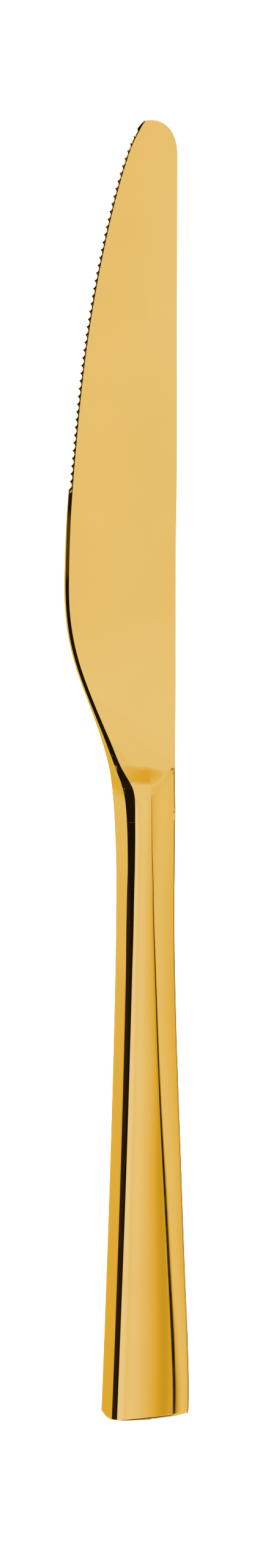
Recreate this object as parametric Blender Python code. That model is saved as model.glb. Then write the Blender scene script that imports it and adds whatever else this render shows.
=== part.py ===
# Small table knife with a serrated, round-tipped blade and a hollow handle.
# The knife stands tip up: +Z runs from the butt to the tip, +X is the spine side,
# -X the cutting edge, -Y the front face. Front and back mirror each other in Y = 0.

import math

import bmesh
import bpy
import numpy as np
from mathutils import Matrix

for old in list(bpy.data.objects):
    bpy.data.objects.remove(old, do_unlink=True)

MM = 0.001

# Overall sizes
HANDLE_LENGTH = 79.0 * MM  # butt to the joint with the bolster
BLADE_LENGTH = 91.0 * MM  # joint to the tip
BLADE_WIDTH = 14.55 * MM  # line of the neck's thin edge to the belly of the edge
HANDLE_THICKNESS = 5.3 * MM
NECK_WIDTH = 6.88 * MM  # narrowest place of the handle
NECK_BELOW_JOINT = 7.25 * MM

# Handle outline and section
BUTT_FLARE_EDGE = 2.04 * MM  # how far the edge side spreads from the neck to the butt
BUTT_FLARE_SPINE = 2.3 * MM
FLARE_POWER_EDGE = 1.385
FLARE_POWER_SPINE = 1.62
BUTT_TUCK = 0.33 * MM  # the thin edge draws in again at the butt
BUTT_TUCK_LENGTH = 8.0 * MM
COLLAR_PROUD = 0.16 * MM  # the thin edge stands out this far at the bolster
WALL_ROUND_SIDE = 0.95 * MM  # rounding between the narrow wall and the broad face
WALL_ROUND_NECK = 0.62 * MM
WALL_ROUND_BUTT = 0.45 * MM
RIDGE_INSET_NECK = 3.69 * MM  # ridge line to the thin edge
RIDGE_INSET_BUTT = 2.6 * MM
RIDGE_DROP_NECK = 0.3 * MM  # how far the ridge lies below the flat of the face
RIDGE_DROP_BUTT = 0.55 * MM
CROWN_NECK = 1.6 * MM  # width of the curved strip between the flat and the ridge
CROWN_BUTT = 3.4 * MM
THIN_EDGE = 0.9 * MM  # thickness of the handle's thin edge
THIN_EDGE_ROUND = 0.3 * MM
BUTT_DOME = 0.45 * MM  # how far the butt bulges
BUTT_FOOT = 1.2 * MM  # flat strip at the crest of the bulge

# Handle construction
SHELL_WALL = 0.5 * MM
FIT_GAP = 0.3 * MM
CAVITY_EDGE = 0.5 * MM  # height of the cavity where it runs out towards the thin edge

# Bolster: a collar with the handle's section, then a ramp down to the blade
COLLAR_LENGTH = 3.9 * MM
RAMP_LENGTH = 3.2 * MM

# Tang
TANG_LENGTH = 38.0 * MM
TANG_TAPER = 0.3 * MM  # how much narrower the end is than the root
TANG_ROOT = 1.0 * MM  # how far the tang is rooted in the bolster
CEMENT_BED = 1.15 * MM  # bed of cement between the tang and the shells

# Blade outline
BELLY_ABOVE_JOINT = 30.9 * MM
HEEL_SWEEP_NECK = 20.5 * MM  # curve handles of the heel
HEEL_SWEEP_BELLY = 14.97 * MM
EDGE_SWEEP_BELLY = 8.85 * MM  # curve handles of the cutting edge
EDGE_SWEEP_SHOULDER = 18.25 * MM
EDGE_LEAN = math.radians(20.75)  # slant of the edge where the shoulder begins
SHOULDER_OUT = 2.335 * MM  # shoulder of the tip, measured from its peak
SHOULDER_DROP = 3.31 * MM
SHOULDER_SWEEP = 0.87 * MM
TIP_CORNER_WIDTH = 4.13 * MM  # rounded corner on the spine side
TIP_CORNER_DROP = 5.41 * MM
TIP_CORNER_POWER = 2.6
SPINE_SET = 0.1 * MM  # the spine stands back this far at the heel
SPINE_LEAN = 0.42 * MM  # and forward this far at the tip

# Blade section
FACE_HEEL_HALF = 1.2 * MM  # half thickness beside the bevel
FACE_TIP_HALF = 0.25 * MM
FACE_TAPER = 12.0 * MM
SPINE_HEEL_HALF = 1.2 * MM
SPINE_TIP_HALF = 0.6 * MM
SPINE_ROUND = 0.2 * MM
LAND_HEEL_HALF = 0.95 * MM  # half thickness of the blunt edge itself
LAND_TIP_HALF = 0.1 * MM
LAND_TAPER = 9.0 * MM
BEVEL_HEEL_WIDTH = 0.52 * MM
BEVEL_TIP_WIDTH = 0.38 * MM

# Serration
TOOTH_PITCH = 1.01 * MM
SCALLOP_DEPTH = 0.31 * MM
TOOTH_LAND = 0.08 * MM  # flat left on each tooth point
SERRATION_START = 43.7 * MM  # above the joint
SERRATION_END = 1.0 * MM  # below the tip

# How finely the curves are divided
CURVE_STEPS = 40
ROUND_STEPS = 4
CROWN_STEPS = 4
EDGE_STEPS = 3
HANDLE_RINGS = 18
DOME_RINGS = 4
COLLAR_RINGS = 2
RAMP_RINGS = 7
HEEL_RINGS = 9
BLADE_RINGS = 14
TIP_RINGS = 12
SCALLOP_SIDES = 12

# Places that follow from the sizes
JOINT_Z = HANDLE_LENGTH
NECK_Z = JOINT_Z - NECK_BELOW_JOINT
RAMP_BASE_Z = JOINT_Z + COLLAR_LENGTH
RAMP_TOP_Z = RAMP_BASE_Z + RAMP_LENGTH
BELLY_Z = JOINT_Z + BELLY_ABOVE_JOINT
TIP_Z = JOINT_Z + BLADE_LENGTH
TIP_CORNER_Z = TIP_Z - TIP_CORNER_DROP
PEAK_X = SPINE_LEAN - TIP_CORNER_WIDTH
SHOULDER_X = PEAK_X - SHOULDER_OUT
SHOULDER_Z = TIP_Z - SHOULDER_DROP
HALF_THICK = HANDLE_THICKNESS / 2

COLLECTION_NAME = "table_knife"
CUTTER_COLLECTION_NAME = "table_knife_cutters"


def mix(a, b, share):
    return a + (b - a) * share


def ease(value):
    t = min(max(value, 0.0), 1.0)
    return t * t * (3.0 - 2.0 * t)


def bezier(start, start_handle, end_handle, end):
    t = np.linspace(0.0, 1.0, CURVE_STEPS + 1)[:, None]
    p0, p1, p2, p3 = (np.array(p) for p in (start, start_handle, end_handle, end))
    first = (1 - t) ** 3 * p0 + 3 * t * (1 - t) ** 2 * p1
    return first + 3 * t**2 * (1 - t) * p2 + t**3 * p3


def edge_line():
    """The outline of the cutting-edge side as (x, z) points, from the neck to the peak of the tip."""
    neck = (-NECK_WIDTH, NECK_Z)
    belly = (-BLADE_WIDTH, BELLY_Z)
    shoulder = (SHOULDER_X, SHOULDER_Z)
    peak = (PEAK_X, TIP_Z)
    slant = np.array((math.sin(EDGE_LEAN), math.cos(EDGE_LEAN)))
    heel = bezier(
        neck,
        (neck[0], neck[1] + HEEL_SWEEP_NECK),
        (belly[0], belly[1] - HEEL_SWEEP_BELLY),
        belly,
    )
    edge = bezier(
        belly,
        (belly[0], belly[1] + EDGE_SWEEP_BELLY),
        np.array(shoulder) - slant * EDGE_SWEEP_SHOULDER,
        shoulder,
    )
    corner = bezier(
        shoulder,
        np.array(shoulder) + slant * SHOULDER_SWEEP,
        (peak[0] - SHOULDER_SWEEP, peak[1]),
        peak,
    )
    return np.vstack((heel, edge[1:], corner[1:]))


EDGE_LINE = edge_line()


def edge_x(z):
    """X of the cutting-edge side, from the butt to the tip."""
    if z < NECK_Z:
        return -NECK_WIDTH - BUTT_FLARE_EDGE * (1.0 - z / NECK_Z) ** FLARE_POWER_EDGE
    return float(np.interp(z, EDGE_LINE[:, 1], EDGE_LINE[:, 0]))


def thin_x(z):
    """X of the thin edge of the handle and the collar."""
    if z > NECK_Z:
        return COLLAR_PROUD * ease((z - NECK_Z) / (RAMP_BASE_Z - NECK_Z))
    tuck = BUTT_TUCK * max(1.0 - z / BUTT_TUCK_LENGTH, 0.0) ** 2
    return BUTT_FLARE_SPINE * (1.0 - z / NECK_Z) ** FLARE_POWER_SPINE - tuck


def spine_x(z):
    """X of the spine of the blade, with the rounded corner of the tip."""
    along = max(z - RAMP_TOP_Z, 0.0) / (TIP_Z - RAMP_TOP_Z)
    rise = min(max(z - TIP_CORNER_Z, 0.0) / TIP_CORNER_DROP, 1.0)
    corner = 1.0 - (1.0 - rise**TIP_CORNER_POWER) ** (1.0 / TIP_CORNER_POWER)
    return mix(-SPINE_SET, SPINE_LEAN, along) - TIP_CORNER_WIDTH * corner


def arc_points(x0, h0, x1, h1, steps, bulge_up):
    """A quarter of an ellipse from (x0, h0) to (x1, h1), without its first point."""
    points = []
    for i in range(1, steps + 1):
        a = math.pi / 2 * i / steps
        slow, fast = 1 - math.cos(a), math.sin(a)
        across, along = (slow, fast) if bulge_up else (fast, slow)
        points.append((mix(x0, x1, across), mix(h0, h1, along)))
    return points


def line_points(x0, h0, x1, h1, steps):
    return [(mix(x0, x1, i / steps), mix(h0, h1, i / steps)) for i in range(1, steps + 1)]


def neck_share(z):
    """0 at the butt, 1 at the neck and above it."""
    return min(z / NECK_Z, 1.0)


def facet_width(z):
    """How far the ridge line lies from the thin edge."""
    return mix(RIDGE_INSET_BUTT, RIDGE_INSET_NECK, neck_share(z))


def ridge(z):
    """The ridge line of the handle as x and half thickness."""
    drop = mix(RIDGE_DROP_BUTT, RIDGE_DROP_NECK, neck_share(z))
    return thin_x(z) - facet_width(z), HALF_THICK - drop


def handle_half(z):
    """Half section of the handle as (x, half thickness), from the wall to the thin edge."""
    left = edge_x(z)
    right = thin_x(z)
    top = HALF_THICK
    ridge_x, ridge_h = ridge(z)
    crown = mix(CROWN_BUTT, CROWN_NECK, neck_share(z))
    thin_h = THIN_EDGE / 2
    wall_h = top - WALL_ROUND_SIDE
    rounding = mix(WALL_ROUND_BUTT, WALL_ROUND_NECK, neck_share(z))
    points = [(left, 0.0), (left, wall_h)]
    points += arc_points(left, wall_h, left + rounding, top, ROUND_STEPS, True)
    for i in range(CROWN_STEPS + 1):
        t = i / CROWN_STEPS
        points.append((ridge_x - crown * (1 - t), top - (top - ridge_h) * t**2))
    points.append((right - THIN_EDGE_ROUND, thin_h))
    points += arc_points(right - THIN_EDGE_ROUND, thin_h, right, 0.0, EDGE_STEPS, False)
    return points


def blade_half(z):
    """Half section of the blade, point for point like the handle's."""
    left = edge_x(z)
    right = spine_x(z)
    width = right - left
    above = max(z - RAMP_TOP_Z, 0.0)
    near_heel = math.exp(-above / FACE_TAPER)
    bevel = min(mix(BEVEL_TIP_WIDTH, BEVEL_HEEL_WIDTH, near_heel), width / 4)
    rounding = min(SPINE_ROUND, width / 4)
    face_h = mix(FACE_TIP_HALF, FACE_HEEL_HALF, near_heel)
    land_h = mix(LAND_TIP_HALF, LAND_HEEL_HALF, math.exp(-above / LAND_TAPER))
    spine_h = mix(SPINE_HEEL_HALF, SPINE_TIP_HALF, above / (TIP_Z - RAMP_TOP_Z))
    points = [(left, 0.0), (left, land_h)]
    points += line_points(left, land_h, left + bevel, face_h, ROUND_STEPS)
    points += line_points(left + bevel, face_h, right - rounding, spine_h, CROWN_STEPS + 2)
    points += arc_points(right - rounding, spine_h, right, 0.0, EDGE_STEPS, False)
    return points


def knife_half(z):
    """Half section anywhere above the joint: collar, ramp or blade."""
    share = ease((z - RAMP_BASE_Z) / RAMP_LENGTH)
    pairs = zip(handle_half(z), blade_half(z))
    return [(mix(a[0], b[0], share), mix(a[1], b[1], share)) for a, b in pairs]


def butt_half(z):
    """Half section of the handle, cut back near the butt by its bulging end."""
    foot = BUTT_FOOT / 2
    rise = min(z / BUTT_DOME, 1.0)
    limit = math.sqrt(mix(foot**2, HALF_THICK**2, rise))
    return [(x, min(h, limit)) for x, h in handle_half(z)]


def cavity_half(z, inset):
    """Half section of the hollow inside the handle, kept inside the wall by the inset."""
    left = edge_x(z) + inset
    top = HALF_THICK - inset
    ridge_x, ridge_h = ridge(z)
    slope = (ridge_h - THIN_EDGE / 2) / (facet_width(z) - THIN_EDGE_ROUND)
    sunk = inset * math.sqrt(1.0 + slope**2)
    end_h = CAVITY_EDGE / 2
    end_x = ridge_x + (ridge_h - sunk - end_h) / slope
    under_ridge = (ridge_x - inset * slope / 2, ridge_h - inset)
    return [(left, top), under_ridge, (end_x, end_h)]


def full_ring(half, z):
    """A closed ring from a half section: the front, then the back, sharing points of no thickness."""
    front = [(x, -h, z) for x, h in half]
    back = [(x, h, z) for x, h in reversed(half) if h > 0.0]
    return front + back


def half_ring(half, z, side):
    """A closed ring of one half, shut along the middle plane; side is -1 in front, 1 behind."""
    return [(x, side * h, z) for x, h in half]


def tang_ring(z, left, right, half):
    return [(left, -half, z), (right, -half, z), (right, half, z), (left, half, z)]


def loft(name, rings, collection):
    """A closed body through rings that have the same number of points."""
    mesh = bpy.data.meshes.new(name)
    bm = bmesh.new()
    rows = [[bm.verts.new(point) for point in ring] for ring in rings]
    count = len(rows[0])
    for low, high in zip(rows, rows[1:]):
        for i in range(count):
            j = (i + 1) % count
            bm.faces.new((low[i], low[j], high[j], high[i]))
    bm.faces.new(rows[0][::-1])
    bm.faces.new(rows[-1])
    bmesh.ops.recalc_face_normals(bm, faces=bm.faces)
    bm.to_mesh(mesh)
    bm.free()
    obj = bpy.data.objects.new(name, mesh)
    collection.objects.link(obj)
    return obj


def surface(name, colour, roughness, metallic):
    material = bpy.data.materials.new(name)
    material.use_nodes = True
    shader = material.node_tree.nodes["Principled BSDF"]
    shader.inputs["Base Color"].default_value = (*colour, 1.0)
    shader.inputs["Roughness"].default_value = roughness
    shader.inputs["Metallic"].default_value = metallic
    return material


def finish(obj, material, root):
    """Gives a part its material, smooth round faces and its place under the root."""
    obj.data.materials.append(material)
    obj.data.shade_smooth()
    obj.data.set_sharp_from_angle(angle=math.radians(30))
    obj.parent = root


def as_cutter(obj, root):
    obj.display_type = "WIRE"
    obj.hide_render = True
    obj.parent = root


def boolean(obj, other, operation):
    modifier = obj.modifiers.new(f"{operation.lower()}_{other.name}", "BOOLEAN")
    modifier.operation = operation
    modifier.solver = "EXACT"
    modifier.object = other


def spread(start, end, count):
    """Evenly spaced heights after the start, up to and including the end."""
    return [mix(start, end, i / count) for i in range(1, count + 1)]


def handle_heights():
    dome = [BUTT_DOME * (i / DOME_RINGS) ** 2 for i in range(DOME_RINGS + 1)]
    return dome + spread(BUTT_DOME, JOINT_Z, HANDLE_RINGS)


def blade_heights():
    heights = [JOINT_Z]
    heights += spread(JOINT_Z, RAMP_BASE_Z, COLLAR_RINGS)
    heights += spread(RAMP_BASE_Z, RAMP_TOP_Z, RAMP_RINGS)
    heights += spread(RAMP_TOP_Z, BELLY_Z, HEEL_RINGS)
    heights += spread(BELLY_Z, TIP_CORNER_Z, BLADE_RINGS)
    for i in range(1, TIP_RINGS + 1):
        heights.append(TIP_CORNER_Z + TIP_CORNER_DROP * math.sin(math.pi / 2 * i / (TIP_RINGS + 1)))
    return heights


def tang_loft(name, clearance, collection):
    """The tang, or with a clearance the socket that takes it. It lies between the wall and the ridge."""
    ridge_x, ridge_h = ridge(JOINT_Z)
    left = edge_x(JOINT_Z) + SHELL_WALL + CEMENT_BED - clearance
    right = ridge_x + clearance
    half = ridge_h - SHELL_WALL - CEMENT_BED + clearance
    end_z = JOINT_Z - TANG_LENGTH - clearance
    rings = [
        tang_ring(end_z, left + TANG_TAPER / 2, right - TANG_TAPER / 2, half),
        tang_ring(JOINT_Z + TANG_ROOT, left, right, half),
    ]
    return loft(name, rings, collection)


def scallop_centres():
    """Middles of the scallops on the edge line, about one pitch apart, from the heel side to the tip."""
    start_z = JOINT_Z + SERRATION_START
    end_z = TIP_Z - SERRATION_END
    points = [(edge_x(start_z), start_z)]
    points += [tuple(p) for p in EDGE_LINE if start_z < p[1] < end_z]
    points += [(edge_x(end_z), end_z)]
    points = np.array(points)
    steps = np.hypot(*np.diff(points, axis=0).T)
    along = np.concatenate(((0.0,), np.cumsum(steps)))
    count = round(along[-1] / TOOTH_PITCH)
    places = (np.arange(count) + 0.5) * along[-1] / count
    return np.column_stack([np.interp(places, along, points[:, i]) for i in (0, 1)])


def serration_cutter(collection):
    """A row of round bars across the edge, each as wide as one scallop."""
    chord = TOOTH_PITCH - TOOTH_LAND
    radius = (chord**2 / 4 + SCALLOP_DEPTH**2) / (2 * SCALLOP_DEPTH)
    outward = max(radius - SCALLOP_DEPTH, 0.0)
    mesh = bpy.data.meshes.new("serration_cutter")
    bm = bmesh.new()
    centres = scallop_centres()
    slants = np.gradient(centres, axis=0)
    across_blade = Matrix.Rotation(math.pi / 2, 3, "X")
    for (x, z), (dx, dz) in zip(centres, slants):
        length = math.hypot(dx, dz)
        bar = bmesh.ops.create_cone(
            bm,
            cap_ends=True,
            segments=SCALLOP_SIDES,
            radius1=radius,
            radius2=radius,
            depth=HANDLE_THICKNESS,
        )
        bmesh.ops.rotate(bm, verts=bar["verts"], matrix=across_blade)
        place = (x - outward * dz / length, 0.0, z + outward * dx / length)
        bmesh.ops.translate(bm, verts=bar["verts"], vec=place)
    bm.to_mesh(mesh)
    bm.free()
    obj = bpy.data.objects.new("serration_cutter", mesh)
    collection.objects.link(obj)
    return obj


def make_blade(parts, cutters, root, gold):
    rings = [full_ring(knife_half(z), z) for z in blade_heights()]
    blade = loft("blade", rings, parts)
    tang = tang_loft("tang_root", 0.0, cutters)
    as_cutter(tang, root)
    teeth = serration_cutter(cutters)
    as_cutter(teeth, root)
    boolean(blade, tang, "UNION")
    boolean(blade, teeth, "DIFFERENCE")
    finish(blade, gold, root)


def make_cavity(cutters, root):
    """The hollow of the handle, open at the mouth."""
    heights = [z for z in handle_heights() if z > BUTT_DOME]
    heights = [BUTT_DOME + SHELL_WALL] + heights[1:]
    rings = [full_ring(cavity_half(z, SHELL_WALL), z) for z in heights]
    past_mouth = JOINT_Z + SHELL_WALL
    rings.append(full_ring(cavity_half(JOINT_Z, SHELL_WALL), past_mouth))
    cavity = loft("handle_cavity", rings, cutters)
    as_cutter(cavity, root)
    return cavity


def make_shell(name, side, cavity, parts, root, gold):
    rings = [half_ring(butt_half(z), z, side) for z in handle_heights()]
    shell = loft(name, rings, parts)
    boolean(shell, cavity, "DIFFERENCE")
    finish(shell, gold, root)


def make_filling(parts, cutters, root, cement):
    inset = SHELL_WALL + FIT_GAP
    low = BUTT_DOME + inset
    high = JOINT_Z - FIT_GAP
    heights = [low] + spread(low, high, HANDLE_RINGS)
    rings = [full_ring(cavity_half(z, inset), z) for z in heights]
    filling = loft("handle_filling", rings, parts)
    socket = tang_loft("tang_socket", FIT_GAP, cutters)
    as_cutter(socket, root)
    boolean(filling, socket, "DIFFERENCE")
    finish(filling, cement, root)


parts = bpy.data.collections.new(COLLECTION_NAME)
cutters = bpy.data.collections.new(CUTTER_COLLECTION_NAME)
for collection in (parts, cutters):
    bpy.context.scene.collection.children.link(collection)

# The root stands under the middle of the knife's outline, on the crest of the butt
widest_edge_side = max(BLADE_WIDTH, NECK_WIDTH + BUTT_FLARE_EDGE)
widest_spine_side = max(SPINE_LEAN, *(thin_x(z) for z in handle_heights()))
root = bpy.data.objects.new("knife_root", None)
root.location.x = (widest_edge_side - widest_spine_side) / 2
parts.objects.link(root)

gold_blade = surface("gold_steel_blade", (0.80, 0.53, 0.16), 0.08, 1.0)
gold_front = surface("gold_steel_front_shell", (0.80, 0.53, 0.16), 0.08, 1.0)
gold_back = surface("gold_steel_back_shell", (0.80, 0.53, 0.16), 0.08, 1.0)
cement = surface("cement", (0.55, 0.52, 0.47), 0.9, 0.0)

make_blade(parts, cutters, root, gold_blade)
handle_cavity = make_cavity(cutters, root)
make_shell("handle_front_shell", -1, handle_cavity, parts, root, gold_front)
make_shell("handle_back_shell", 1, handle_cavity, parts, root, gold_back)
make_filling(parts, cutters, root, cement)
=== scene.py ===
from math import cos, radians, sin

import bmesh
import bpy
import numpy as np
from mathutils import Matrix, Vector


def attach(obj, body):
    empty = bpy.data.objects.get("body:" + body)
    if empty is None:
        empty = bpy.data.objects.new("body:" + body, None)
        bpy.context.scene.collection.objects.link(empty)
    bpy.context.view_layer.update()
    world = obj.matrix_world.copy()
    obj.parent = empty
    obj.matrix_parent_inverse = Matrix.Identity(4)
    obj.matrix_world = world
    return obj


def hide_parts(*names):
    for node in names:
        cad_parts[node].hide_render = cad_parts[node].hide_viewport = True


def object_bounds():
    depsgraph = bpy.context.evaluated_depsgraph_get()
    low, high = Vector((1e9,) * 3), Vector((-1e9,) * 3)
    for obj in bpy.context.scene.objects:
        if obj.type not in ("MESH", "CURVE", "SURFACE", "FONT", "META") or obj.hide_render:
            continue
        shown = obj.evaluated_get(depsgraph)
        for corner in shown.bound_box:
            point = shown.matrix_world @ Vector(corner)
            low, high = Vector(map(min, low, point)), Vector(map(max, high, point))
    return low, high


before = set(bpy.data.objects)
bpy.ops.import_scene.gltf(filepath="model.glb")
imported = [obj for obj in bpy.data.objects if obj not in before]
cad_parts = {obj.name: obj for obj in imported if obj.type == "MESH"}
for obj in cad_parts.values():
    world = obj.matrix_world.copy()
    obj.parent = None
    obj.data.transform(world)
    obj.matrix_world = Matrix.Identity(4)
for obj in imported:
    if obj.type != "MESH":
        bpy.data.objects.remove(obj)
cadLow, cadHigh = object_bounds()
print("frame loaded", sorted(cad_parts))

mm = 0.001  # all shapes below are worked out in millimetres and scaled when a mesh is made

outline = {
    "neckZ": 71.85,  # narrowest place of the handle
    "jointZ": 79.0,  # shells end, bolster begins
    "bellyZ": 109.9,  # widest place of the blade
    "tipZ": 170.0,
    "topZ": 169.955,  # last ring, where the tip is closed
    "neckWidth": 6.88,
    "bellyWidth": 14.55,
    "flareEdge": 2.1,
    "flareEdgePower": 1.385,
    "flareThin": 2.284,
    "flareThinPower": 1.62,
    "tuck": 0.33,  # thin edge draws in again at the butt
    "tuckLength": 8.0,
    "collarProud": 0.16,
    "heelSweeps": (20.5, 14.97),
    "edgeSweeps": (8.85, 18.25),
    "edgeLean": 20.75,  # degrees
    "shoulderOut": 2.335,
    "shoulderDrop": 3.31,
    "shoulderSweep": 0.87,
    "cornerWidth": 4.13,  # rounded corner of the tip on the spine side
    "cornerDrop": 5.2,
    "cornerPower": 2.4,
    "spineSet": 0.1,
    "spineLean": 0.42,
    # heights with how far the edge side stands in from its curves, as at the bolster's thick wall, or out
    "edgeInset": (
        (58, 0.0), (66, -0.045), (70, -0.055), (74, -0.04), (76.14, 0.0), (79.14, 0.12), (81.14, 0.225),
        (82.64, 0.29), (83.4, 0.29), (84.14, 0.27), (86.14, 0.14), (88.14, 0.06), (92.14, 0.0), (112, 0.0),
        (116, -0.03), (120, -0.07), (124, -0.065), (128, -0.045), (132, -0.07), (136, -0.11), (141, -0.15),
        (147, -0.13), (155, -0.09), (160, -0.1), (164, -0.13), (167, -0.09), (168.5, -0.03), (169.5, 0.0),
    ),
    # the same for the other side, where a plus stands out: handle and collar, and then the spine
    "thinInset": (
        (0, 0.0), (6.5, 0.0), (11, 0.065), (16, 0.07), (33, 0.11), (44, 0.065), (50, 0.02), (60, 0.0),
        (67, 0.04), (72, 0.125), (78.8, 0.085), (81.5, 0.02), (83, 0.0),
    ),
    "spineInset": (
        (84, 0.155), (88, 0.15), (96, 0.13), (102, 0.05), (109, -0.02), (114.5, -0.02), (121, 0.06),
        (128, 0.08), (134, 0.06), (142, 0.015), (166, 0.0),
    ),
}
shiftX = cadLow.x / mm + outline["bellyWidth"]  # outline datum to the frame's middle


def mix(a, b, t):
    return a + (b - a) * t


def ease(t):  # smooth step, 3t² - 2t³
    t = np.clip(t, 0.0, 1.0)
    return t * t * (3.0 - 2.0 * t)


def bezier(p0, p1, p2, p3, steps=160):  # cubic curve from p0 to p3, pulled towards p1 and p2
    t = np.linspace(0.0, 1.0, steps)[:, None]
    p0, p1, p2, p3 = (np.asarray(p, float) for p in (p0, p1, p2, p3))
    return (1 - t) ** 3 * p0 + 3 * t * (1 - t) ** 2 * p1 + 3 * t**2 * (1 - t) * p2 + t**3 * p3


def flow(z, table):  # smooth curve through a table of heights and values, flat beyond its ends
    # slope at each entry is the harmonic mean of its neighbours' slopes, or level where they differ in sign
    k, v = np.array(table, float).T
    rise = np.diff(v) / np.diff(k)
    same = rise[:-1] * rise[1:] > 0
    m = np.zeros(len(k))
    m[1:-1] = np.where(same, 2 * rise[:-1] * rise[1:] / np.where(same, rise[:-1] + rise[1:], 1.0), 0.0)
    i = np.clip(np.searchsorted(k, z) - 1, 0, len(k) - 2)
    w = k[i + 1] - k[i]
    t = np.clip((z - k[i]) / w, 0.0, 1.0)
    out = (1 + 2 * t) * (1 - t) ** 2 * v[i] + t * (1 - t) ** 2 * w * m[i]
    return out + t * t * (3 - 2 * t) * v[i + 1] + t * t * (t - 1) * w * m[i + 1]


def edgeOutline():
    # three curves end to end: neck to belly, belly to shoulder, shoulder to the peak of the tip
    o = outline
    neck = np.array((-o["neckWidth"], o["neckZ"]))
    belly = np.array((-o["bellyWidth"], o["bellyZ"]))
    peak = np.array((o["spineLean"] - o["cornerWidth"], o["tipZ"]))
    shoulder = peak - (o["shoulderOut"], o["shoulderDrop"])
    slant = np.array((sin(radians(o["edgeLean"])), cos(radians(o["edgeLean"]))))
    up = np.array((0.0, 1.0))
    heel = bezier(neck, neck + up * o["heelSweeps"][0], belly - up * o["heelSweeps"][1], belly)
    edge = bezier(
        belly, belly + up * o["edgeSweeps"][0], shoulder - slant * o["edgeSweeps"][1], shoulder
    )
    sweep = o["shoulderSweep"]
    corner = bezier(shoulder, shoulder + slant * sweep, peak - (sweep, 0.0), peak)
    points = np.vstack((heel, edge[1:], corner[1:]))
    points[:, 0] += flow(points[:, 1], o["edgeInset"])
    return points


edgePoints = edgeOutline()


def edgeX(z):  # cutting-edge side: power-law flare below the neck, the edge outline above it
    o = outline
    low = np.clip(1.0 - z / o["neckZ"], 0.0, 1.0)
    below = -o["neckWidth"] - o["flareEdge"] * low ** o["flareEdgePower"] + flow(z, o["edgeInset"])
    return np.where(z < o["neckZ"], below, np.interp(z, edgePoints[:, 1], edgePoints[:, 0]))


def thinX(z):  # thin edge of handle and collar: power-law flare with a tuck at the butt
    o = outline
    low = np.clip(1.0 - z / o["neckZ"], 0.0, 1.0)
    tuck = o["tuck"] * np.clip(1.0 - z / o["tuckLength"], 0.0, 1.0) ** 2
    proud = o["collarProud"] * ease((z - o["neckZ"]) / (bolster["rampBase"] - o["neckZ"]))
    return o["flareThin"] * low ** o["flareThinPower"] - tuck + proud + flow(z, o["thinInset"])


def spineX(z):  # straight leaning spine minus a superellipse corner at the tip
    o = outline
    along = np.clip((z - bolster["rampTop"]) / (o["tipZ"] - bolster["rampTop"]), 0.0, 1.0)
    rise = np.clip((z - o["tipZ"] + o["cornerDrop"]) / o["cornerDrop"], 0.0, 1.0)
    corner = 1.0 - (1.0 - rise ** o["cornerPower"]) ** (1.0 / o["cornerPower"])
    return mix(-o["spineSet"], o["spineLean"], along) - o["cornerWidth"] * corner + flow(z, o["spineInset"])


handleSection = {
    # each table holds heights and values: half thickness of the face beside the rounding, half width of the
    # narrow wall, and the rounding's width on the broad face
    "faceHalf": (
        (0, 2.65), (82.14, 2.65), (83.14, 2.62), (83.64, 2.55), (84.14, 2.41), (84.64, 2.2), (85.14, 2.0),
        (85.64, 1.83), (86.14, 1.68), (87.14, 1.45), (88.14, 1.27), (89.14, 1.12), (90.14, 1.0), (92.14, 0.8),
        (94, 0.66), (97, 0.56), (101, 0.48), (106, 0.45), (110, 0.44), (116, 0.38), (122, 0.33), (130, 0.27),
        (170, 0.25),
    ),
    "wallHalf": (
        (0, 1.72), (40, 1.75), (64, 1.81), (69.5, 1.94), (72.35, 2.11), (76.14, 2.27), (79.14, 2.36),
        (81.14, 2.385), (82.14, 2.36), (83.14, 2.23), (84.14, 1.97), (85.14, 1.66), (86.14, 1.39),
        (87.14, 1.18), (88.14, 1.01), (89.14, 0.89), (90.14, 0.79), (92.14, 0.62), (94, 0.5), (97, 0.41),
        (101, 0.35), (106, 0.3), (110, 0.26), (116, 0.18), (122, 0.12), (130, 0.06), (170, 0.05),
    ),
    "roundFace": (
        (0, 0.45), (40, 0.535), (58, 0.616), (66, 0.7), (69.5, 0.73), (72.35, 0.785), (74.75, 0.86),
        (76.4, 0.93), (79.14, 1.04), (81.14, 1.18), (82.14, 1.24), (83.14, 1.22), (84.14, 1.06),
        (85.14, 0.86), (86.14, 0.7), (87.14, 0.63), (89.14, 0.58), (91.14, 0.5), (94, 0.45), (110, 0.41),
        (122, 0.41), (130, 0.4), (164, 0.39), (168, 0.32), (170, 0.27),
    ),
    # face's turn in degrees at the rounding and at the ridge, the ridge's softness and its place
    "outwardLean": ((0, 5.2), (76, 5.2), (81, 4.0), (83, 0.5), (84, 0.1)),
    "ridgeLean": (
        (0, 18.5), (10, 18), (18, 17.3), (30, 16.5), (46, 11.8), (62, 11), (74, 7.2), (80, 5), (84, 4),
    ),
    "ridgeRound": (
        (0, 0.22), (5, 0.28), (13, 0.44), (26, 0.44), (42, 0.38), (58, 0.26), (70, 0.15), (80, 0.06),
        (84, 0.04),
    ),
    "ridgeInset": (
        (0, 2.55), (13, 2.61), (26, 2.84), (42, 3.3), (58, 3.49), (70, 3.81), (80, 4.1), (86, 4.05),
    ),
    "facetBulge": 0.06,
    "thinHalf": 0.45,
    "thinRound": 0.4,
    "cornerEdge": (5.2, 0.6),  # reach and height of the rounding at the butt's two ends
    "cornerThin": (0.39, 0.94),
    "domeRadius": 7.0,
    "domeFillet": 0.42,
    "filletShare": 0.6,  # the fillet takes no more than this share of a thin edge
}
columns = {"wall": 3, "round": 16, "face": 22, "ridge": 10, "facet": 8, "thin": 9}


def cornerRound(gap, reach, height):  # how far a quarter ellipse stands back at a gap above its foot
    return reach * (1.0 - np.sqrt(1.0 - np.clip((height - gap) / height, 0.0, 1.0) ** 2))


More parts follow.
